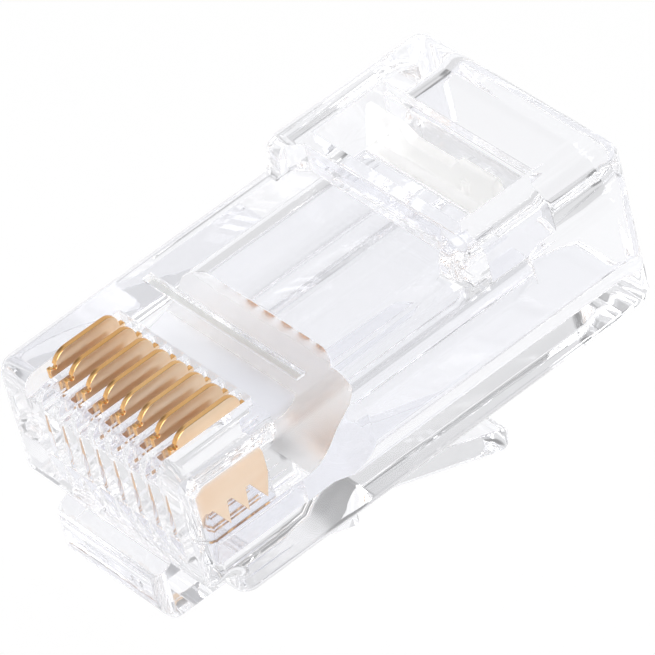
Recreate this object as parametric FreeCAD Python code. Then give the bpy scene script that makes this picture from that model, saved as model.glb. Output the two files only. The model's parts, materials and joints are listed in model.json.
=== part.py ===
import FreeCAD, Part
import math
import os

V = FreeCAD.Vector

# A clear modular plug for eight conductors, before crimping, as it lies on a table.
# It is drawn in its own plug axes and then laid down on its latch:
# x runs from the front face back to the cable end, y across, and z up from the body's
# underside to the contact side. All sizes are in millimetres.

# Body
width = 11.68              # across the body
length = 21.9              # front face to cable end
deck_height = 6.7          # underside to the contact deck
raised_rise = 1.35         # contact deck to the top of the raised cable end
raised_length = 8.4        # length of the raised cable end
nose_lift = 1.35           # the nose's underside above the body's underside
nose_length = 1.1          # front face to the step in the underside
edge_round = 0.76          # outer edges that run across the body
nose_edge_round = 0.19     # the front face's lower edge
side_round = 0.72          # outer edges that run along the sides
step_round = 0.35          # inner corners of the outer steps

# Contacts
contact_count = 8
contact_pitch = 1.02
contact_thickness = 0.26
contact_front = 1.22       # front face to the blade's front edge
contact_length = 2.88      # the blade's front edge to its rear edge
contact_top = 7.13         # underside to the top of an uncrimped contact
contact_travel = 1.15      # how far the crimp tool presses a contact down
contact_floor_gap = 0.08   # prong tips above the channels' floor once crimped
contact_seat_gap = 0.04    # foot and shoulder above the narrow slots' floor once crimped
contact_nose_round = 0.78  # front top corner
contact_tail_round = 0.55  # rear top corner
tail_reach = 0.28          # how far the rounded tail stands behind the blade
foot_reach = 0.2           # the small foot in front of the blade
foot_depth = 0.48
foot_drop = 0.5            # top edge to the top of the foot
foot_root = 0.2            # how far the foot runs into the blade
foot_notch = 0.09          # radius of the notch between the foot and the blade
shoulder_reach = 0.52      # the small shoulder behind the blade
shoulder_depth = 0.27
shoulder_drop = 0.68       # top edge to the top of the shoulder
prong_count = 3
prong_depth = 1.1
prong_root = 0.2           # flat between two prongs
prong_lean = 0.62          # how far a prong's tip lies behind its front corner

# Comb of slots that the contacts stand in
comb_rib = 0.38            # rib between two slots
comb_drop = 0.2            # rib tops below the contact deck
comb_depth = 0.95          # contact deck down to the floor of the slots between the ribs
comb_end_gap = 0.15        # contact shoulder to the slots' rear end
rib_round = 0.5            # front top corner of a rib
blade_gap = 0.025          # play between a blade and the narrow slot that holds it

# Conductor channels
channel_width = 0.88
channel_floor = 1.65       # underside of the body to the channels' floor
channel_height = 1.1
channel_front = 0.9        # front face to the channels' closed end
channel_length = 4.4
divider_point = 0.45       # length of the pointed rear end of a divider

# Cable cavity
cavity_width = 9.3
cavity_floor = 1.0
cavity_height = 4.3
cavity_front = 8.6         # front face to the cavity's front end
cavity_round = 1.5         # long inner corners
entry_height = 5.05        # height near the cable end
entry_length = 4.8         # cable end to where the ceiling starts to rise
entry_rise_length = 1.9
entry_rise_round = 0.63
mouth_flare = 0.35         # lead-in round the cable mouth
mouth_depth = 0.7
funnel_knee = 0.95         # channels' rear end to the turn in the funnel's ceiling
funnel_round = 1.9         # radius of that turn
funnel_side_length = 1.3   # the part of the funnel whose sides draw in
ramp_length = 2.0          # the funnel's floor from the cavity up to the channels

# Window in the raised end
window_set_back = 1.55     # raised end's front to the window's front wall
window_length = 3.65
window_width = 8.55
window_ledge = 0.18        # ledge along the window's rear wall
window_ledge_drop = 0.52   # raised top down to that ledge
wall_thickness = 0.65      # the thin wall in front of the window
post_inner_front = 9.28    # distance between the two posts at their front
post_inner_rear = 7.9      # distance between the two posts at the thin wall

# Groove across the deck, over the conductors
groove_front = 6.45
groove_length = 0.41
groove_span = 9.04
groove_depth = 0.3

# Cable clamp bar, hinged in the window on a thin web
web_width = 6.1
web_drop = 1.17            # raised top down to the web
web_thickness = 0.3
web_length = 1.35          # window's front wall to the line that the bar turns on
web_root = 0.25            # sill along the front wall that the web grows from
hinge_gap = 0.06
bar_width = 6.2            # the pressing part and the tongue at the web
bar_length = 1.48          # the line that the bar turns on to its rear face
bar_height = 2.18          # pressing edge to the top of the ears
bar_top_rise = 0.08        # the ears stand this far above the raised top
bar_set_back = 0.2         # pressing edge behind the tongue's end
bar_ear_reach = 0.62       # the ears beside the pressing part
bar_ear_depth = 1.75
bar_ear_base = 1.03        # length of the ears at their foot
bar_ear_top = 0.6          # the leaning front face's top edge to the rear face
bar_rear_lean = 0.3
bar_saddle_depth = 0.5     # ears' top down to the saddle between them
bar_saddle_width = 2.4
bar_saddle_flank = 0.5     # how much wider the saddle is at its top, each side
bar_saddle_round = 0.3
bar_pad_width = 0.4        # two small pads on the leaning front face
bar_pad_spread = 4.24      # from the middle of one pad to the other
bar_pad_height = 0.62      # web up to the pads' top
bar_pad_set_back = 0.57    # the line that the bar turns on to the pads' front
bar_round = 0.15
bar_turn = 30.0            # degrees that the bar swings down

# Latch
block_width = 6.2
block_reach = 0.75         # how far the block stands in front of the front face
block_drop = 1.2           # body's underside down to the block's underside
block_round = 0.75         # front edge underneath, which the plug lies on
block_corner_round = 0.5   # the block's corners seen from below
block_ledge_drop = 0.3     # the block's top falls by this towards its front
block_ledge_round = 0.25
block_bite = 0.2           # how far the block's top runs into the nose
latch_thickness = 1.0
latch_bend_start = 1.6     # front face to where the arm starts to bend down
latch_bend_radius = 11.7
latch_slope = 20.6         # degrees, the straight part of the arm below the body
latch_pivot_turn = 6.9     # degrees of the bend before the line the arm flexes about
latch_straight = 11.62     # length of the arm's straight part
latch_narrow_width = 3.25
latch_shoulder = 8.5       # front face to the shoulders that catch in a jack
latch_tip_round = 0.45
latch_corner_round = 0.5   # the arm's corners seen from below
latch_turn = 16.0          # degrees that the arm is pressed up to the body

# How far cutting shapes run past the body, and how far joined shapes overlap
spare = 2.0
overlap = 0.01

# Places worked out from the sizes
raised_height = deck_height + raised_rise
raised_start = length - raised_length
half_width = width / 2
comb_slot = contact_pitch - comb_rib
comb_half = (contact_count - 1) * contact_pitch / 2 + comb_slot / 2
prong_tip = channel_floor + contact_floor_gap + contact_travel
foot_top = contact_top - foot_drop
shoulder_top = contact_top - shoulder_drop
seat_floor = min(foot_top - foot_depth, shoulder_top - shoulder_depth) - contact_travel - contact_seat_gap
comb_floor = deck_height - comb_depth
comb_rear = contact_front + contact_length + shoulder_reach + comb_end_gap
rib_top = deck_height - comb_drop
channel_rear = channel_front + channel_length
channel_top = channel_floor + channel_height
throat_half = contact_count * contact_pitch / 2
cavity_ceiling = cavity_floor + cavity_height
entry_ceiling = cavity_floor + entry_height
entry_rise_start = length - entry_length
window_front = raised_start + window_set_back
window_rear = window_front + window_length
window_half = window_width / 2
web_top = raised_height - web_drop
web_bottom = web_top - web_thickness
bar_axis_x = window_front + web_length
bar_rear = bar_axis_x + bar_length
bar_top = raised_height + bar_top_rise
block_floor = -block_drop
arm_middle = block_floor + latch_thickness / 2
ear_floor = bar_top - bar_ear_depth
above = raised_height + spare
beyond = length + spare


def at(plane, a, b, offset):
    # a point of a flat outline, placed in space
    if plane == "xz":
        return V(a, offset, b)
    if plane == "yz":
        return V(offset, a, b)
    return V(a, b, offset)


def outline(corners, plane, offset):
    # closed wire through (a, b, radius) corners, with an arc at each corner that has a radius
    count = len(corners)
    stops = []
    for i in range(count):
        here = V(corners[i][0], corners[i][1], 0)
        before = V(corners[i - 1][0], corners[i - 1][1], 0)
        after = V(corners[(i + 1) % count][0], corners[(i + 1) % count][1], 0)
        radius = corners[i][2]
        if radius <= 0:
            stops.append((here, here, here))
            continue
        back = (before - here).normalize()
        on = (after - here).normalize()
        half_angle = back.getAngle(on) / 2
        reach = radius / math.tan(half_angle)
        middle = here + (back + on).normalize() * (radius / math.sin(half_angle) - radius)
        stops.append((here + back * reach, middle, here + on * reach))
    edges = []
    for i in range(count):
        start, middle, end = [at(plane, p.x, p.y, offset) for p in stops[i]]
        following = stops[(i + 1) % count][0]
        following = at(plane, following.x, following.y, offset)
        if corners[i][2] > 0:
            edges.append(Part.Arc(start, middle, end).toShape())
        if end.distanceToPoint(following) > 1e-6:
            edges.append(Part.LineSegment(end, following).toShape())
    return Part.Wire(edges)


def prism(corners, plane, start, end):
    # the outline drawn at start and pushed to end, across its plane
    pushes = {"xz": V(0, end - start, 0), "yz": V(end - start, 0, 0), "xy": V(0, 0, end - start)}
    return Part.Face(outline(corners, plane, start)).extrude(pushes[plane])


def block(x0, x1, half, z0, z1, y=0.0):
    # box from x0 to x1 and z0 to z1, reaching half to each side of y
    return Part.makeBox(x1 - x0, 2 * half, z1 - z0, V(x0, y - half, z0))


def tube_section(half, floor, ceiling, radius):
    return [(-half, floor, radius), (half, floor, radius), (half, ceiling, radius), (-half, ceiling, radius)]


def contact_places():
    first = (contact_count - 1) * contact_pitch / 2
    return [first - i * contact_pitch for i in range(contact_count)]


def outer_body():
    side_view = [
        (0, nose_lift, nose_edge_round),
        (nose_length, nose_lift, step_round),
        (nose_length, 0, edge_round),
        (length, 0, edge_round),
        (length, raised_height, edge_round),
        (raised_start, raised_height, edge_round),
        (raised_start, deck_height, step_round),
        (0, deck_height, edge_round),
    ]
    return prism(side_view, "xz", -half_width, half_width)


def round_sides(body):
    # one smooth rounding along the outline of each side
    rims = []
    for edge in body.Edges:
        box = edge.BoundBox
        if abs(abs(box.YMin) - half_width) < 1e-4 and box.YLength < 1e-4:
            rims.append(edge)
    return body.makeFillet(side_round, rims)


def cable_cavity():
    half = cavity_width / 2
    low = prism(tube_section(half, cavity_floor, cavity_ceiling, cavity_round), "yz", cavity_front, beyond)
    tall = prism(tube_section(half, cavity_floor, entry_ceiling, cavity_round), "yz", entry_rise_start, beyond)
    rise_end = entry_rise_start + entry_rise_length
    rise = prism([
        (entry_rise_start - entry_rise_round, cavity_floor, 0),
        (beyond, cavity_floor, 0),
        (beyond, entry_ceiling, 0),
        (rise_end, entry_ceiling, entry_rise_round),
        (entry_rise_start, cavity_ceiling, entry_rise_round),
        (entry_rise_start - entry_rise_round, cavity_ceiling, 0),
    ], "xz", -half, half)
    grow = mouth_flare * (1 + (beyond - length) / mouth_depth)
    mouth = Part.makeLoft([
        outline(tube_section(half, cavity_floor, entry_ceiling, cavity_round), "yz", length - mouth_depth),
        outline(tube_section(half + grow, cavity_floor - grow, entry_ceiling + grow, cavity_round + grow),
                "yz", beyond),
    ], True, True)
    return low.fuse(tall.common(rise)).fuse(mouth)


def funnel():
    # from the cavity forward and down to the conductor channels
    half = cavity_width / 2
    side_view = [
        (channel_rear, channel_floor, 0),
        (cavity_front - ramp_length, channel_floor, 0),
        (cavity_front, cavity_floor, 0),
        (cavity_front + overlap, cavity_floor, 0),
        (cavity_front + overlap, cavity_ceiling, 0),
        (cavity_front, cavity_ceiling, 0),
        (channel_rear + funnel_knee, channel_top, funnel_round),
        (channel_rear, channel_top, 0),
    ]
    draw_in = cavity_front - funnel_side_length
    plan = [
        (channel_rear, -throat_half, 0),
        (draw_in, -throat_half, 0),
        (cavity_front, -half, 0),
        (cavity_front + overlap, -half, 0),
        (cavity_front + overlap, half, 0),
        (cavity_front, half, 0),
        (draw_in, throat_half, 0),
        (channel_rear, throat_half, 0),
    ]
    section = tube_section(half, cavity_floor, cavity_ceiling, cavity_round)
    shape = prism(side_view, "xz", -half, half)
    shape = shape.common(prism(plan, "xy", 0, deck_height))
    return shape.common(prism(section, "yz", channel_rear, cavity_front + overlap))


def conductor_channels():
    half = channel_width / 2
    cuts = []
    for y in contact_places():
        cuts.append(block(channel_front, channel_rear + overlap, half, channel_floor, channel_top, y))
        flare = [
            (channel_rear - divider_point, y - half, 0),
            (channel_rear + overlap, y - contact_pitch / 2, 0),
            (channel_rear + overlap, y + contact_pitch / 2, 0),
            (channel_rear - divider_point, y + half, 0),
        ]
        cuts.append(prism(flare, "xy", channel_floor, channel_top))
    return cuts


def comb_cuts():
    recess = [
        (-spare, comb_floor, 0),
        (0, comb_floor, 0),
        (0, rib_top, rib_round),
        (comb_rear, rib_top, 0),
        (comb_rear, above, 0),
        (-spare, above, 0),
    ]
    cuts = [prism(recess, "xz", -comb_half, comb_half)]
    # under each wide slot a narrow one for the foot and the shoulder, and a deeper one for the blade
    slot_half = contact_thickness / 2 + blade_gap
    blade_rear = contact_front + contact_length
    seat_front = contact_front - foot_reach - blade_gap
    seat_rear = blade_rear + shoulder_reach + blade_gap
    for y in contact_places():
        cuts.append(block(-spare, comb_rear, comb_slot / 2, comb_floor, above, y))
        cuts.append(block(seat_front, seat_rear, slot_half, seat_floor, above, y))
        cuts.append(block(contact_front - blade_gap, blade_rear + blade_gap, slot_half,
                          channel_floor + overlap, above, y))
    return cuts


def window_cuts():
    # the hole down into the cavity, the ledge along its rear wall and the sill along its front wall
    ledge_z = raised_height - window_ledge_drop
    sill_rear = window_front + web_root
    return [
        block(sill_rear, window_rear - window_ledge, window_half, cavity_ceiling - overlap, above),
        block(sill_rear, window_rear, window_half, ledge_z, above),
        block(window_front, sill_rear + overlap, window_half, web_top, above),
    ]


def web():
    return block(window_front, bar_axis_x, web_width / 2, web_bottom, web_top)


def post_recess():
    # the thin wall in front of the window stands back between two posts
    wall_front = window_front - wall_thickness
    plan = [
        (raised_start - spare, -post_inner_front / 2, 0),
        (raised_start + step_round, -post_inner_front / 2, 0),
        (wall_front, -post_inner_rear / 2, 0),
        (wall_front, post_inner_rear / 2, 0),
        (raised_start + step_round, post_inner_front / 2, 0),
        (raised_start - spare, post_inner_front / 2, 0),
    ]
    return prism(plan, "xy", deck_height, above)


def deck_groove():
    return block(groove_front, groove_front + groove_length, groove_span / 2, deck_height - groove_depth, above)


def latch_point(turn, offset):
    # a point of the arm, offset from its middle line, after it has bent through turn degrees
    angle = math.radians(turn)
    radius = latch_bend_radius + offset
    centre_z = arm_middle - latch_bend_radius
    return V(latch_bend_start + radius * math.sin(angle), 0, centre_z + radius * math.cos(angle))


def latch_end_point(offset, shorter=0.0):
    angle = math.radians(latch_slope)
    along = V(math.cos(angle), 0, -math.sin(angle))
    return latch_point(latch_slope, offset) + along * (latch_straight - shorter)


def arc(turn_a, turn_b, offset):
    middle = latch_point((turn_a + turn_b) / 2, offset)
    return Part.Arc(latch_point(turn_a, offset), middle, latch_point(turn_b, offset)).toShape()


def line(a, b):
    return Part.LineSegment(a, b).toShape()


def knuckle(radius):
    centre = latch_point(latch_pivot_turn, 0)
    low = V(centre.x, -block_width / 2 - spare, centre.z)
    return Part.makeCylinder(radius, block_width + 2 * spare, low, V(0, 1, 0))


def latch_root():
    # the block under the nose and the first stretch of the arm, up to the line it flexes about
    half = latch_thickness / 2
    front = -block_reach
    inside = nose_lift + step_round
    side_view = [
        (front, block_floor, block_round),
        (latch_bend_start, block_floor, 0),
        (latch_bend_start, block_floor + latch_thickness, 0),
        (nose_length, block_floor + latch_thickness, 0),
        (nose_length, inside, 0),
        (block_bite, inside, 0),
        (0, nose_lift, 0),
        (front, nose_lift - block_ledge_drop, block_ledge_round),
    ]
    bend = Part.Wire([
        arc(0, latch_pivot_turn, half),
        line(latch_point(latch_pivot_turn, half), latch_point(latch_pivot_turn, -half)),
        arc(latch_pivot_turn, 0, -half),
        line(latch_point(0, -half), latch_point(0, half)),
    ])
    stretch = Part.Face(bend).extrude(V(0, block_width, 0))
    stretch.translate(V(0, -block_width / 2, 0))
    base = prism(side_view, "xz", -block_width / 2, block_width / 2)
    corner = [
        (front, -block_width / 2, block_corner_round),
        (beyond, -block_width / 2, 0),
        (beyond, block_width / 2, 0),
        (front, block_width / 2, block_corner_round),
    ]
    root = base.fuse(stretch).common(prism(corner, "xy", block_floor - spare, deck_height))
    return root.cut(knuckle(half + hinge_gap))


def housing():
    body = round_sides(outer_body())
    body = body.fuse(latch_root())
    cuts = [cable_cavity(), funnel(), post_recess(), deck_groove()]
    cuts += conductor_channels() + comb_cuts() + window_cuts()
    for cut in cuts:
        body = body.cut(cut)
    return body.fuse(web()).removeSplitter()


def contact(y):
    front = contact_front
    rear = contact_front + contact_length
    tail = rear + tail_reach
    root = prong_tip + prong_depth
    corners = [
        (tail, contact_top, contact_tail_round),
        (front, contact_top, contact_nose_round),
        (front, root, 0),
    ]
    step = (contact_length - prong_root) / prong_count
    for i in range(prong_count):
        start = front + prong_root + i * step
        corners.append((start, root, 0))
        corners.append((start + prong_lean, prong_tip, 0))
        corners.append((start + step - prong_root, root, 0))
    corners = corners[:-1] + [
        (rear, root, 0),
        (rear, shoulder_top - shoulder_depth, 0),
        (rear + shoulder_reach, shoulder_top - shoulder_depth, 0),
        (rear + shoulder_reach, shoulder_top, 0),
        (tail, shoulder_top, 0),
    ]
    blade = prism(corners, "xz", y - contact_thickness / 2, y + contact_thickness / 2)
    foot = block(front - foot_reach, front + foot_root, contact_thickness / 2,
                 foot_top - foot_depth, foot_top, y)
    # the notch lies where the rounded front corner comes down to the foot's top
    rise = max(0, foot_top - contact_top + contact_nose_round)
    curve = front + contact_nose_round - (contact_nose_round ** 2 - rise ** 2) ** 0.5
    low = V(curve, y - contact_thickness, foot_top)
    notch = Part.makeCylinder(foot_notch, 2 * contact_thickness, low, V(0, 1, 0))
    return blade.fuse(foot).removeSplitter().cut(notch)


def latch_arm():
    half = latch_thickness / 2
    bottom = -half
    edges = [
        arc(latch_pivot_turn, latch_slope, half),
        line(latch_point(latch_slope, half), latch_end_point(half)),
        line(latch_end_point(half), latch_end_point(bottom)),
        line(latch_end_point(bottom), latch_point(latch_slope, bottom)),
        arc(latch_slope, latch_pivot_turn, bottom),
        line(latch_point(latch_pivot_turn, bottom), latch_point(latch_pivot_turn, half)),
    ]
    arm = Part.Face(Part.Wire(edges)).extrude(V(0, block_width, 0))
    arm.translate(V(0, -block_width / 2, 0))
    tip_top = latch_end_point(half)
    tip_bottom = latch_end_point(bottom)
    tips = []
    for edge in arm.Edges:
        middle = edge.CenterOfMass
        for tip in (tip_top, tip_bottom):
            if abs(middle.x - tip.x) < 1e-4 and abs(middle.z - tip.z) < 1e-4:
                tips.append(edge)
    arm = arm.makeFillet(latch_tip_round, tips)
    wide = block_width / 2
    narrow = latch_narrow_width / 2
    end = latch_end_point(half).x + overlap
    plan = [
        (latch_bend_start, -wide, 0),
        (latch_shoulder, -wide, latch_corner_round),
        (latch_shoulder, -narrow, 0),
        (end, -narrow, latch_corner_round),
        (end, narrow, latch_corner_round),
        (latch_shoulder, narrow, 0),
        (latch_shoulder, wide, latch_corner_round),
        (latch_bend_start, wide, 0),
    ]
    arm = arm.common(prism(plan, "xy", tip_bottom.z - spare, deck_height))
    hinge = knuckle(half).common(block(latch_bend_start, latch_shoulder, wide, block_floor - spare, deck_height))
    return arm.fuse(hinge).removeSplitter()


def clamp_bar():
    # ears with a saddle between them, over a pressing part with a tongue at the web
    front = bar_axis_x + hinge_gap
    press_front = front + bar_set_back
    foot = bar_top - bar_height
    face_top = bar_rear - bar_ear_top
    ears = prism([
        (bar_rear - bar_ear_base, ear_floor, 0),
        (face_top, bar_top, bar_round),
        (bar_rear - bar_rear_lean, bar_top, bar_round),
        (bar_rear, ear_floor, 0),
    ], "xz", -bar_width / 2 - bar_ear_reach, bar_width / 2 + bar_ear_reach)
    press = prism([
        (front, web_bottom, 0),
        (front, web_top, 0),
        (face_top, web_top, 0),
        (face_top, ear_floor, 0),
        (bar_rear, ear_floor, 0),
        (bar_rear, foot, bar_round),
        (press_front, foot, bar_round),
        (press_front, web_bottom, 0),
    ], "xz", -bar_width / 2, bar_width / 2)
    bar = ears.fuse(press)
    for y in (-bar_pad_spread / 2, bar_pad_spread / 2):
        pad_front = bar_axis_x + bar_pad_set_back
        bar = bar.fuse(block(pad_front, face_top, bar_pad_width / 2, ear_floor, web_top + bar_pad_height, y))
    saddle = bar_saddle_width / 2
    saddle_floor = bar_top - bar_saddle_depth
    rim = bar_top + bar_saddle_depth
    grow = 2 * bar_saddle_flank
    notch = prism([
        (-saddle, saddle_floor, bar_saddle_round),
        (saddle, saddle_floor, bar_saddle_round),
        (saddle + grow, rim, 0),
        (-saddle - grow, rim, 0),
    ], "yz", window_front, window_rear)
    return bar.cut(notch).removeSplitter()


def resting_angle():
    # the plug lies nose down on the block's rounded front edge and the latch's rounded tip
    front = V(block_round - block_reach, 0, block_floor + block_round)
    tip = latch_end_point(latch_tip_round - latch_thickness / 2, latch_tip_round)
    run = tip.x - front.x
    drop = front.z - tip.z
    reach = math.hypot(run, drop)
    return math.degrees(math.acos((block_round - latch_tip_round) / reach) - math.atan2(run, drop))


def parts_in_plug_axes():
    nodes = {"housing": housing(), "latch_arm": latch_arm(), "clamp_bar": clamp_bar()}
    for i, y in enumerate(contact_places()):
        nodes["contact_%d" % (i + 1)] = contact(y)
    return nodes


def lay_down(nodes):
    # turn the plug to its resting angle and set its lowest point on the table, centred
    turn = FreeCAD.Rotation(V(0, 1, 0), -resting_angle())
    placement = FreeCAD.Placement(V(0, 0, 0), turn)
    laid = Part.Compound(list(nodes.values()))
    laid.Placement = placement
    box = laid.optimalBoundingBox(False, False)
    placement.Base = V(-(box.XMin + box.XMax) / 2, -(box.YMin + box.YMax) / 2, -box.ZMin)
    return placement


plug_nodes = parts_in_plug_axes()
resting_place = lay_down(plug_nodes)
os.makedirs("parts", exist_ok=True)
for name, shape in plug_nodes.items():
    shape.Placement = resting_place
    shape.exportStep("parts/%s.step" % name)
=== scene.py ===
"""The looks of a clear eight-way modular plug that lies on a pale table, contact side up."""

import json
import logging
import math
from dataclasses import dataclass
from enum import Enum
from typing import Sequence

import bmesh
import bpy
from mathutils import Matrix, Vector

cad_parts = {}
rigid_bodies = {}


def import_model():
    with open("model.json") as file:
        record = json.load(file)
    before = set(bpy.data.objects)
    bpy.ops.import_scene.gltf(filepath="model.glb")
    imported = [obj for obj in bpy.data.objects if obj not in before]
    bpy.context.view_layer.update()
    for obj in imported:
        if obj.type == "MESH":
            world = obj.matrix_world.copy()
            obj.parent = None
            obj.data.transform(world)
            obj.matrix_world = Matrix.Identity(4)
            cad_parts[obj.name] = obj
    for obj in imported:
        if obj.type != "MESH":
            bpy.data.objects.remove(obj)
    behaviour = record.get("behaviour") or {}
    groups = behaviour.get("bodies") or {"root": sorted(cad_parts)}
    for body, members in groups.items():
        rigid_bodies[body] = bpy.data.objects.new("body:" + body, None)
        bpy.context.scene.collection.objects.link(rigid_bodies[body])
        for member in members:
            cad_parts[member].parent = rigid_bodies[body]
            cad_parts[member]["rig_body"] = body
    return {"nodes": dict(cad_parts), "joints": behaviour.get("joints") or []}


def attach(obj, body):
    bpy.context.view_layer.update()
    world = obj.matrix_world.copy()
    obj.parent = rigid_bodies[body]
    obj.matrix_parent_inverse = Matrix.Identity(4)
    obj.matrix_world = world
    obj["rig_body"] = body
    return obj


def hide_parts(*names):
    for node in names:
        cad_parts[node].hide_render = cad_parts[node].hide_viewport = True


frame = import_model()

log = logging.getLogger("plug")

MM = 0.001
MERGE_DISTANCE = 1e-6
LIGHT_BOUNCES = 48
BLADE_COUNT = 8

Colour = tuple[float, float, float, float]
Triple = tuple[float, float, float]
Socket = bpy.types.NodeSocket


@dataclass(frozen=True)
class PlugAxes:
    """The plug's own axes in the row frame: along to the cable end, across, and up to the contacts."""

    length: float = 21.9
    raised_height: float = 8.05

    @property
    def up(self) -> Vector:
        """The direction of the contact side, against the way a contact is crimped."""
        crimp = next(j for j in frame["joints"] if j["name"].startswith("contact_"))
        return -Vector(crimp["axis"]).normalized()

    @property
    def across(self) -> Vector:
        """The direction across the plug."""
        return Vector((0, 1, 0))

    @property
    def along(self) -> Vector:
        """The direction from the front face to the cable end."""
        return self.across.cross(self.up)

    @property
    def turn(self) -> Matrix:
        """The rotation from plug axes to the row frame."""
        return Matrix((self.along, self.across, self.up)).transposed()

    @property
    def origin(self) -> Vector:
        """The middle of the front face's lower edge line.

        Returns:
            The point in the row frame, in metres.
        """
        places = [v.co for v in frame["nodes"]["housing"].data.vertices]
        x = max(p.dot(self.along) for p in places) - self.length * MM
        z = max(p.dot(self.up) for p in places) - self.raised_height * MM
        return self.along * x + self.up * z


AXES = PlugAxes()
ORIGIN = AXES.origin
TURN = AXES.turn
UNTURN = TURN.transposed()


def row_place(place: Triple) -> Vector:
    """Gives the place in the row frame of a point in plug millimetres.

    Args:
        place: The point along, across and up.

    Returns:
        The point in metres.
    """
    return ORIGIN + TURN @ Vector(place) * MM


def plug_place(place: Vector) -> Vector:
    """Gives the plug millimetres of a point in the row frame.

    Args:
        place: The point in metres.

    Returns:
        The point along, across and up.
    """
    return UNTURN @ (place - ORIGIN) / MM


def direction(azimuth: float, elevation: float) -> Triple:
    """Gives a direction of the surround.

    Args:
        azimuth: Degrees from the cable end towards the far side.
        elevation: Degrees over the table.

    Returns:
        The direction as a unit vector.
    """
    turn, rise = math.radians(azimuth), math.radians(elevation)
    return (math.cos(rise) * math.cos(turn), math.cos(rise) * math.sin(turn), math.sin(rise))


class Finish(Enum):
    """The finishes that a face can have."""

    CLEAR = "clear"
    SATIN = "satin"
    STIPPLED = "stippled"
    FROSTED = "frosted"
    PLATED_RIM = "plated_rim"
    PLATED_SIDE = "plated_side"


class Nodes:
    """A node tree with short ways to add and join nodes."""

    def __init__(self, tree: bpy.types.NodeTree) -> None:
        """Takes the tree and empties it.

        Args:
            tree: The tree of a material, of a group or of the world.
        """
        self.tree = tree
        self.tree.nodes.clear()

    def add(self, kind: str, **settings: object) -> bpy.types.Node:
        """Adds a node and sets its properties.

        Args:
            kind: The node's type name.
            **settings: Properties of the node.

        Returns:
            The new node.
        """
        node = self.tree.nodes.new(kind)
        for key, value in settings.items():
            setattr(node, key, value)
        return node

    def join(self, source: Socket, target: Socket) -> None:
        """Links two sockets."""
        self.tree.links.new(source, target)

    def group(self, tree: bpy.types.NodeTree, **values: object) -> Socket:
        """Places a pattern's node group with its own values.

        Args:
            tree: The group's tree.
            **values: Values of its inputs, by name.

        Returns:
            The pattern's value.
        """
        node = self.add("ShaderNodeGroup", node_tree=tree)
        for name, value in values.items():
            node.inputs[name].default_value = value
        return node.outputs["Value"]

    def place(self) -> Socket:
        """Adds the place of a point in plug millimetres.

        Returns:
            The vector along, across and up.
        """
        coordinates = self.add("ShaderNodeTexCoord")
        mapping = self.add("ShaderNodeMapping", vector_type="TEXTURE")
        mapping.inputs["Location"].default_value = ORIGIN
        mapping.inputs["Rotation"].default_value = TURN.to_euler()
        mapping.inputs["Scale"].default_value = (MM, MM, MM)
        self.join(coordinates.outputs["Object"], mapping.inputs["Vector"])
        return mapping.outputs["Vector"]

    def spread(self, value: Socket, low: float, high: float, to_low: float, to_high: float,
               **settings: object) -> Socket:
        """Adds a remapping of a value.

        Args:
            value: The value.
            low: Its low end.
            high: Its high end.
            to_low: What the low end becomes.
            to_high: What the high end becomes.
            **settings: Properties of the node.

        Returns:
            The new value.
        """
        node = self.add("ShaderNodeMapRange", **settings)
        node.inputs["From Min"].default_value = low
        node.inputs["From Max"].default_value = high
        node.inputs["To Min"].default_value = to_low
        node.inputs["To Max"].default_value = to_high
        self.join(value, node.inputs["Value"])
        return node.outputs["Result"]

    def times(self, first: Socket, second: Socket) -> Socket:
        """Adds the product of two values.

        Args:
            first: One value.
            second: The other.

        Returns:
            The product.
        """
        node = self.add("ShaderNodeMath", operation="MULTIPLY")
        self.join(first, node.inputs[0])
        self.join(second, node.inputs[1])
        return node.outputs["Value"]

    def bump(self, height: Socket, strength: float, distance: float,
             under: Socket | None = None) -> Socket:
        """Adds a bump.

        Args:
            height: The height pattern.
            strength: Its strength.
            distance: Its depth in millimetres.
            under: A bump beneath it.

        Returns:
            The normal.
        """
        node = self.add("ShaderNodeBump")
        node.inputs["Strength"].default_value = strength
        node.inputs["Distance"].default_value = distance * MM
        self.join(height, node.inputs["Height"])
        if under is not None:
            self.join(under, node.inputs["Normal"])
        return node.outputs["Normal"]

    def mix(self, share: Socket, first: Socket, second: Socket) -> Socket:
        """Adds a mix of two shaders.

        Args:
            share: The second shader's share.
            first: The first shader.
            second: The second shader.

        Returns:
            The mixed shader.
        """
        node = self.add("ShaderNodeMixShader")
        self.join(share, node.inputs["Fac"])
        self.join(first, node.inputs[1])
        self.join(second, node.inputs[2])
        return node.outputs["Shader"]

    def surface(self, shader: Socket) -> None:
        """Makes a shader the material's surface."""
        self.join(shader, self.add("ShaderNodeOutputMaterial").inputs["Surface"])


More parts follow.
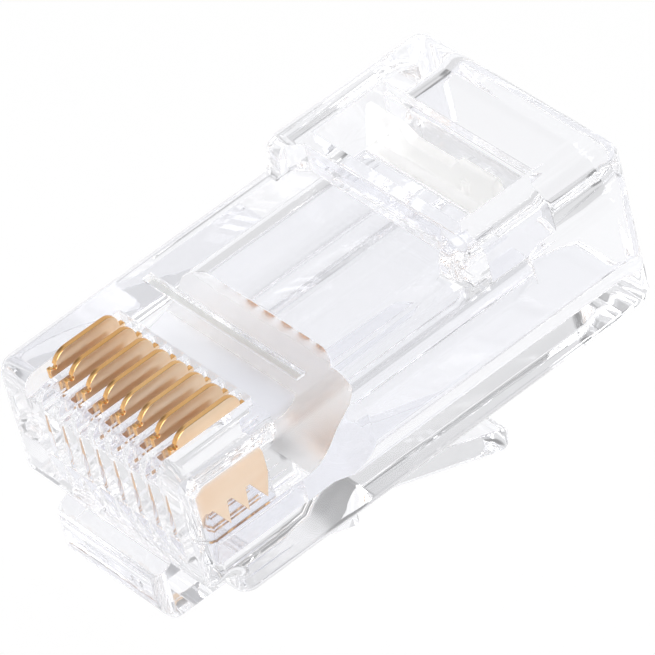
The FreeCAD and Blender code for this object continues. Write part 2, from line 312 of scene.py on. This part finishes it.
class Patterns:
    """The patterns that the finishes share, each a node group that works in plug millimetres."""

    gate_place = (0.0, 0.0, -0.55)
    gate_radius = 0.4
    gate_core = 0.85
    gate_grain = 5.0

    def __init__(self) -> None:
        """Builds the groups."""
        self.patches = self.build_patches()
        self.fade = self.build_fade()
        self.gate = self.build_gate()

    def open_group(self, name: str, inputs: dict[str, str]) -> Nodes:
        """Starts a group with one value as its output.

        Args:
            name: The group's name.
            inputs: The socket type of each input, by name.

        Returns:
            The group's nodes.
        """
        tree = bpy.data.node_groups.new(name, "ShaderNodeTree")
        for label, kind in inputs.items():
            tree.interface.new_socket(name=label, in_out="INPUT", socket_type=kind)
        tree.interface.new_socket(name="Value", in_out="OUTPUT", socket_type="NodeSocketFloat")
        return Nodes(tree)

    def close_group(self, nodes: Nodes, value: Socket) -> bpy.types.NodeTree:
        """Joins a value to the group's output.

        Args:
            nodes: The group's nodes.
            value: The value that it puts out.

        Returns:
            The group's tree.
        """
        nodes.join(value, nodes.add("NodeGroupOutput").inputs["Value"])
        return nodes.tree

    def build_patches(self) -> bpy.types.NodeTree:
        """Builds the noise that haze, waves and grain are made from.

        Returns:
            The group's tree.
        """
        nodes = self.open_group("patches", {"Scale": "NodeSocketFloat", "Detail": "NodeSocketFloat",
                                            "Stretch": "NodeSocketVector"})
        given = nodes.add("NodeGroupInput")
        stretched = nodes.add("ShaderNodeVectorMath", operation="MULTIPLY")
        nodes.join(nodes.place(), stretched.inputs[0])
        nodes.join(given.outputs["Stretch"], stretched.inputs[1])
        noise = nodes.add("ShaderNodeTexNoise")
        nodes.join(stretched.outputs["Vector"], noise.inputs["Vector"])
        nodes.join(given.outputs["Scale"], noise.inputs["Scale"])
        nodes.join(given.outputs["Detail"], noise.inputs["Detail"])
        return self.close_group(nodes, noise.outputs["Fac"])

    def build_fade(self) -> bpy.types.NodeTree:
        """Builds the mask that fades out along the plug, towards the cable end.

        Returns:
            The group's tree.
        """
        nodes = self.open_group("fade_along", {"From": "NodeSocketFloat", "To": "NodeSocketFloat"})
        given = nodes.add("NodeGroupInput")
        parts = nodes.add("ShaderNodeSeparateXYZ")
        nodes.join(nodes.place(), parts.inputs["Vector"])
        fade = nodes.add("ShaderNodeMapRange")
        fade.inputs["To Min"].default_value = 1.0
        fade.inputs["To Max"].default_value = 0.0
        nodes.join(parts.outputs["X"], fade.inputs["Value"])
        nodes.join(given.outputs["From"], fade.inputs["From Min"])
        nodes.join(given.outputs["To"], fade.inputs["From Max"])
        return self.close_group(nodes, fade.outputs["Result"])

    def build_gate(self) -> bpy.types.NodeTree:
        """Builds the rough round spot where the moulding was broken from its runner.

        Returns:
            The group's tree.
        """
        nodes = self.open_group("gate_spot", {})
        place = nodes.place()
        away = nodes.add("ShaderNodeVectorMath", operation="DISTANCE")
        away.inputs[1].default_value = self.gate_place
        nodes.join(place, away.inputs[0])
        core = self.gate_radius * self.gate_core
        disc = nodes.spread(away.outputs["Value"], core, self.gate_radius, 1.0, 0.0)
        noise = nodes.add("ShaderNodeTexNoise")
        noise.inputs["Scale"].default_value = self.gate_grain
        nodes.join(place, noise.inputs["Vector"])
        return self.close_group(nodes, nodes.times(disc, noise.outputs["Fac"]))


def new_material(name: str) -> tuple[bpy.types.Material, Nodes]:
    """Starts a material with an empty tree.

    Args:
        name: The material's name.

    Returns:
        The material and its nodes.
    """
    material = bpy.data.materials.new(name)
    material.use_nodes = True
    return material, Nodes(material.node_tree)


@dataclass(frozen=True)
class ClearPlastic:
    """Clear polished polycarbonate, with a faint haze and the slow waves of moulding.

    A rougher finish may fade out along the plug, between two distances behind the front face;
    the distances of the polished one lie past the cable end.
    """

    name: str = "clear_polycarbonate"
    colour: Colour = (0.95, 0.953, 0.975, 1)
    ior: float = 1.585
    roughness_low: float = 0.0
    roughness_high: float = 0.03
    haze_scale: float = 0.9
    haze_detail: float = 3.0
    haze_low: float = 0.35
    haze_high: float = 0.75
    wave_scale: float = 0.5
    wave_stretch: Triple = (0.5, 1, 1)
    wave_depth: float = 0.004
    gate_depth: float = 0.03
    fade_from: float = 30.0
    fade_to: float = 31.0

    def build(self, patterns: Patterns) -> bpy.types.Material:
        """Builds the material.

        Args:
            patterns: The shared node groups.

        Returns:
            The material.
        """
        material, nodes = new_material(self.name)
        shader = nodes.add("ShaderNodeBsdfPrincipled")
        shader.inputs["Base Color"].default_value = self.colour
        shader.inputs["IOR"].default_value = self.ior
        shader.inputs["Transmission Weight"].default_value = 1.0
        nodes.join(self.roughness(nodes, patterns), shader.inputs["Roughness"])
        nodes.join(self.relief(nodes, patterns), shader.inputs["Normal"])
        through = nodes.add("ShaderNodeBsdfTransparent")
        shadow = nodes.add("ShaderNodeLightPath").outputs["Is Shadow Ray"]
        nodes.surface(nodes.mix(shadow, shader.outputs["BSDF"], through.outputs["BSDF"]))
        return material

    def roughness(self, nodes: Nodes, patterns: Patterns) -> Socket:
        """Adds the patchy haze.

        Args:
            nodes: The material's nodes.
            patterns: The shared node groups.

        Returns:
            The roughness.
        """
        haze = nodes.group(patterns.patches, Scale=self.haze_scale, Detail=self.haze_detail,
                           Stretch=(1, 1, 1))
        rough = nodes.spread(haze, self.haze_low, self.haze_high,
                             self.roughness_low, self.roughness_high)
        return nodes.times(rough, nodes.group(patterns.fade, From=self.fade_from, To=self.fade_to))

    def relief(self, nodes: Nodes, patterns: Patterns) -> Socket:
        """Adds the slow waves and the gate spot.

        Args:
            nodes: The material's nodes.
            patterns: The shared node groups.

        Returns:
            The normal.
        """
        slow = nodes.group(patterns.patches, Scale=self.wave_scale, Detail=1.0,
                           Stretch=self.wave_stretch)
        waves = nodes.bump(slow, 1.0, self.wave_depth)
        return nodes.bump(nodes.group(patterns.gate), 1.0, self.gate_depth, waves)


@dataclass(frozen=True)
class SatinPlastic(ClearPlastic):
    """The satin surface of the funnel, which fades out where the cable cavity begins."""

    name: str = "satin_polycarbonate"
    roughness_low: float = 0.34
    roughness_high: float = 0.42
    fade_from: float = 8.1
    fade_to: float = 8.7


@dataclass(frozen=True)
class StippledPlastic(ClearPlastic):
    """The even, slightly darker floor of the groove across the deck."""

    name: str = "stippled_polycarbonate"
    colour: Colour = (0.72, 0.72, 0.69, 1)
    roughness_low: float = 0.3
    roughness_high: float = 0.35
    wave_depth: float = 0.001


@dataclass(frozen=True)
class FrostedPlastic(ClearPlastic):
    """The milky white of the cable clamp."""

    name: str = "frosted_polycarbonate"
    colour: Colour = (1, 0.995, 0.98, 1)
    roughness_low: float = 0.3
    roughness_high: float = 0.4


@dataclass(frozen=True)
class GoldRim:
    """Gold plate on the punched rims of a blade, deep and fairly bright."""

    name: str = "gold_rim"
    bright: Colour = (0.90, 0.55, 0.25, 1)
    deep: Colour = (0.78, 0.42, 0.15, 1)
    roughness_low: float = 0.16
    roughness_high: float = 0.26
    mottle_scale: float = 0.8
    mottle_stretch: Triple = (0.35, 1, 1)
    mottle_stops: tuple[float, float] = (0.35, 0.65)
    grain_scale: float = 6.0
    grain_stretch: Triple = (0.2, 1, 1)
    grain_low: float = 0.3
    grain_high: float = 0.7
    grain_strength: float = 0.5
    grain_depth: float = 0.004
    detail: float = 3.0

    def build(self, patterns: Patterns) -> bpy.types.Material:
        """Builds the material.

        Args:
            patterns: The shared node groups.

        Returns:
            The material.
        """
        material, nodes = new_material(self.name)
        shader = nodes.add("ShaderNodeBsdfPrincipled")
        shader.inputs["Metallic"].default_value = 1.0
        mottle = nodes.group(patterns.patches, Scale=self.mottle_scale, Detail=self.detail,
                             Stretch=self.mottle_stretch)
        ramp = nodes.add("ShaderNodeValToRGB")
        stops = zip(ramp.color_ramp.elements, self.mottle_stops, (self.deep, self.bright))
        for stop, position, colour in stops:
            stop.position = position
            stop.color = colour
        nodes.join(mottle, ramp.inputs["Fac"])
        nodes.join(ramp.outputs["Color"], shader.inputs["Base Color"])
        grain = nodes.group(patterns.patches, Scale=self.grain_scale, Detail=self.detail,
                            Stretch=self.grain_stretch)
        rough = nodes.spread(grain, self.grain_low, self.grain_high,
                             self.roughness_low, self.roughness_high)
        nodes.join(rough, shader.inputs["Roughness"])
        nodes.join(nodes.bump(grain, self.grain_strength, self.grain_depth), shader.inputs["Normal"])
        nodes.surface(shader.outputs["BSDF"])
        return material


@dataclass(frozen=True)
class GoldSide(GoldRim):
    """Gold plate on the rolled sides of a blade, paler and more matt."""

    name: str = "gold_side"
    bright: Colour = (0.95, 0.74, 0.53, 1)
    deep: Colour = (0.90, 0.65, 0.43, 1)
    roughness_low: float = 0.28
    roughness_high: float = 0.4
    grain_depth: float = 0.006


def build_finishes() -> dict[Finish, bpy.types.Material]:
    """Builds the material of each finish.

    Returns:
        The materials, by finish.
    """
    patterns = Patterns()
    kinds = {
        Finish.CLEAR: ClearPlastic(),
        Finish.SATIN: SatinPlastic(),
        Finish.STIPPLED: StippledPlastic(),
        Finish.FROSTED: FrostedPlastic(),
        Finish.PLATED_RIM: GoldRim(),
        Finish.PLATED_SIDE: GoldSide(),
    }
    return {finish: kind.build(patterns) for finish, kind in kinds.items()}


@dataclass(frozen=True)
class Zone:
    """A box in plug millimetres whose faces have a finish of their own."""

    finish: Finish
    low: Triple
    high: Triple
    slack: float = 1e-4

    def holds(self, place: Vector) -> bool:
        """Tells whether a point lies in the box.

        Args:
            place: The point in plug millimetres.

        Returns:
            True inside the box.
        """
        return all(a - self.slack <= p <= b + self.slack for a, p, b in zip(self.low, place, self.high))


@dataclass
class MouldedPiece:
    """A dressed copy of one solid: merged, with its sharp edges rounded and its finishes placed.

    The edge is the rounding in millimetres, and room tells how many times wider than it a face
    has to be for its edges to be rounded. The angles are in degrees.
    """

    node: str
    name: str
    slot: str
    edge: float = 0.035
    room: float = 2.1
    segments: int = 2
    flat_angle: float = 0.4
    sharp_angle: float = 24.0
    smooth_angle: float = 38.0
    shading_weight: int = 90
    finish: Finish = Finish.CLEAR
    zones: tuple[Zone, ...] = ()

    @property
    def finishes(self) -> list[Finish]:
        """The finishes that the piece uses, its own first."""
        return list(dict.fromkeys([self.finish] + [zone.finish for zone in self.zones]))

    def build(self, materials: dict[Finish, bpy.types.Material]) -> bpy.types.Object:
        """Builds the piece and lets it stand for its solid.

        Args:
            materials: The material of each finish.

        Returns:
            The dressed object.
        """
        source = frame["nodes"][self.node]
        piece = bpy.data.objects.new(self.name, self.shape(source.data))
        bpy.context.scene.collection.objects.link(piece)
        for finish in self.finishes:
            piece.data.materials.append(materials[finish])
        even = piece.modifiers.new("even_shading", "WEIGHTED_NORMAL")
        even.keep_sharp = True
        even.weight = self.shading_weight
        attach(piece, source["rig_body"])
        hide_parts(self.node)
        log.info("%s: %d faces for %s", self.name, len(piece.data.polygons), self.node)
        return piece

    def shape(self, solid: bpy.types.Mesh) -> bpy.types.Mesh:
        """Copies the solid's mesh, merges it and rounds its edges.

        Args:
            solid: The mesh of the solid.

        Returns:
            The new mesh.
        """
        mesh = bpy.data.meshes.new(self.name)
        bm = bmesh.new()
        bm.from_mesh(solid)
        bmesh.ops.remove_doubles(bm, verts=bm.verts, dist=MERGE_DISTANCE)
        bmesh.ops.dissolve_limit(bm, angle_limit=math.radians(self.flat_angle),
                                 verts=bm.verts, edges=bm.edges)
        self.round_edges(bm)
        for face in bm.faces:
            face.smooth = True
            face.material_index = self.finishes.index(self.finish_of(face))
        bm.to_mesh(mesh)
        bm.free()
        mesh.set_sharp_from_angle(angle=math.radians(self.smooth_angle))
        return mesh

    def round_edges(self, bm: bmesh.types.BMesh) -> None:
        """Rounds the sharp edges whose two faces are wide enough to take it.

        Args:
            bm: The merged mesh.
        """
        limit = math.radians(self.sharp_angle)
        offset = self.edge * MM
        edges = [e for e in bm.edges if e.is_manifold and e.calc_face_angle() > limit
                 and all(f.calc_area() / e.calc_length() > offset * self.room for f in e.link_faces)]
        bmesh.ops.bevel(bm, geom=edges, offset=offset, offset_type="OFFSET", affect="EDGES",
                        segments=self.segments, profile=0.5, material=-1,
                        clamp_overlap=False, loop_slide=False)

    def finish_of(self, face: bmesh.types.BMFace) -> Finish:
        """Gives the finish of a face from where it lies.

        Args:
            face: The face.

        Returns:
            Its finish.
        """
        place = plug_place(face.calc_center_median())
        return next((zone.finish for zone in self.zones if zone.holds(place)), self.finish)


@dataclass
class Housing(MouldedPiece):
    """The clear body, with a satin funnel and a stippled groove floor."""

    node: str = "housing"
    name: str = "clear_body"
    slot: str = "clear_housing"
    zones: tuple[Zone, ...] = (
        Zone(Finish.SATIN, (5.31, -4.3, 2.76), (8.61, 4.3, 5.2)),
        Zone(Finish.STIPPLED, (6.4, -4.6, 6.3), (6.9, 4.6, 6.45)),
    )


@dataclass
class LatchArm(MouldedPiece):
    """The clear arm that the finger presses."""

    node: str = "latch_arm"
    name: str = "latch"
    slot: str = "clear_latch"


@dataclass
class CableClamp(MouldedPiece):
    """The frosted bar that the crimp tool presses on the cable."""

    node: str = "clamp_bar"
    name: str = "cable_clamp"
    slot: str = "clear_clamp_bar"
    edge: float = 0.05
    finish: Finish = Finish.FROSTED


@dataclass
class Blade(MouldedPiece):
    """One punched contact, with gold rims and paler sides."""

    slot: str = "gold_contact"
    finish: Finish = Finish.PLATED_RIM
    side_facing: float = 0.9

    @property
    def finishes(self) -> list[Finish]:
        """The finishes of the rims and of the sides."""
        return [Finish.PLATED_RIM, Finish.PLATED_SIDE]

    def finish_of(self, face: bmesh.types.BMFace) -> Finish:
        """Gives the finish of a face from the way it looks.

        Args:
            face: The face.

        Returns:
            Its finish.
        """
        return Finish.PLATED_SIDE if abs(face.normal.y) > self.side_facing else self.finish


@dataclass(frozen=True)
class ViewPoint:
    """The camera that the picture was taken with, in plug millimetres."""

    place: Triple = (-100.4, -188.6, 189.3)
    right: Triple = (0.74622, -0.63561, -0.19786)
    down: Triple = (-0.54119, -0.40616, -0.73631)
    focal_length: float = 422.2
    sensor: float = 36.0
    nearest: float = 0.01
    farthest: float = 10.0

    def build(self) -> None:
        """Builds the camera and makes it the scene's."""
        data = bpy.data.cameras.new("camera")
        data.lens = self.focal_length
        data.sensor_width = self.sensor
        data.sensor_fit = "HORIZONTAL"
        data.clip_start = self.nearest
        data.clip_end = self.farthest
        camera = bpy.data.objects.new("camera", data)
        bpy.context.scene.collection.objects.link(camera)
        right = (TURN @ Vector(self.right)).normalized()
        up = (TURN @ -Vector(self.down)).normalized()
        turn = Matrix((right, up, right.cross(up))).transposed().to_4x4()
        camera.matrix_world = Matrix.Translation(row_place(self.place)) @ turn
        bpy.context.scene.camera = camera


@dataclass(frozen=True)
class Flag:
    """A soft grey area of the surround that the clear plastic and the gold mirror.

    The width is the angle from its middle at which the grey has faded out, and the core is
    the share of that angle which is full grey.
    """

    azimuth: float
    elevation: float
    width: float
    grey: float
    core: float = 0.35

    def shade(self, nodes: Nodes, way: Socket) -> Socket:
        """Adds the level that the area leaves of the surround's white.

        Args:
            nodes: The world's nodes.
            way: The direction that is looked in.

        Returns:
            The level, 1 outside the area.
        """
        dot = nodes.add("ShaderNodeVectorMath", operation="DOT_PRODUCT")
        dot.inputs[1].default_value = direction(self.azimuth, self.elevation)
        nodes.join(way, dot.inputs[0])
        outside, inside = (math.cos(math.radians(a)) for a in (self.width, self.width * self.core))
        return nodes.spread(dot.outputs["Value"], outside, inside, 1.0, self.grey,
                            interpolation_type="SMOOTHSTEP")


@dataclass(frozen=True)
class Studio:
    """A pale table in an even surround with two soft grey areas, and one large soft lamp."""

    table_size: float = 3.0
    table_white: float = 0.88
    table_colour: Colour = (1, 1, 1, 1)
    surround_level: float = 0.78
    flags: tuple[Flag, ...] = (Flag(272, 73, 42, 0.42), Flag(104, 33, 24, 0.35))
    lamp_azimuth: float = 212
    lamp_elevation: float = 36
    lamp_distance: float = 0.55
    lamp_size: float = 0.45
    lamp_power: float = 2.4

    def build(self) -> None:
        """Builds the table, the lamp and the surround."""
        self.build_table()
        self.build_lamp()
        self.build_surround()

    def build_table(self) -> None:
        """Lays the table under the plug, white to the camera and in glass and metal."""
        mesh = bpy.data.meshes.new("table")
        bm = bmesh.new()
        bmesh.ops.create_grid(bm, x_segments=1, y_segments=1, size=self.table_size)
        bm.to_mesh(mesh)
        bm.free()
        table = bpy.data.objects.new("table", mesh)
        bpy.context.scene.collection.objects.link(table)
        material, nodes = new_material("pale_table")
        matt = nodes.add("ShaderNodeBsdfDiffuse")
        matt.inputs["Color"].default_value = self.table_colour
        white = nodes.add("ShaderNodeEmission")
        light = nodes.add("ShaderNodeLightPath")
        share = nodes.spread(light.outputs["Is Diffuse Ray"], 0.0, 1.0, self.table_white, 0.0)
        nodes.surface(nodes.mix(share, matt.outputs["BSDF"], white.outputs["Emission"]))
        mesh.materials.append(material)

    def build_lamp(self) -> None:
        """Hangs the lamp on the camera's side."""
        data = bpy.data.lights.new("soft_lamp", "AREA")
        data.shape = "SQUARE"
        data.size = self.lamp_size
        data.energy = self.lamp_power
        lamp = bpy.data.objects.new("soft_lamp", data)
        aim = Vector(direction(self.lamp_azimuth, self.lamp_elevation))
        lamp.location = aim * self.lamp_distance
        lamp.rotation_euler = aim.to_track_quat("Z", "Y").to_euler()
        bpy.context.scene.collection.objects.link(lamp)

    def build_surround(self) -> None:
        """Sets the world's light: even, multiplied by each grey area."""
        world = bpy.data.worlds.new("surround")
        bpy.context.scene.world = world
        world.use_nodes = True
        nodes = Nodes(world.node_tree)
        way = nodes.add("ShaderNodeTexCoord").outputs["Generated"]
        first, *others = [flag.shade(nodes, way) for flag in self.flags]
        level = first
        for other in others:
            level = nodes.times(level, other)
        back = nodes.add("ShaderNodeBackground")
        back.inputs["Strength"].default_value = self.surround_level
        nodes.join(level, back.inputs["Color"])
        nodes.join(back.outputs["Background"], nodes.add("ShaderNodeOutputWorld").inputs["Surface"])


def main() -> None:
    """Builds the dressed plug and its studio."""
    logging.basicConfig(level=logging.INFO)
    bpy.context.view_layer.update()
    materials = build_finishes()
    blades = [Blade(f"contact_{number}", f"blade_{number}") for number in range(1, BLADE_COUNT + 1)]
    for piece in [Housing(), LatchArm(), CableClamp(), *blades]:
        piece.build(materials)
    ViewPoint().build()
    Studio().build()
    scene = bpy.context.scene
    scene.view_settings.view_transform = "Standard"
    scene.cycles.max_bounces = LIGHT_BOUNCES
    scene.cycles.transmission_bounces = LIGHT_BOUNCES
    scene.cycles.glossy_bounces = LIGHT_BOUNCES


if __name__ == "__main__":
    main()
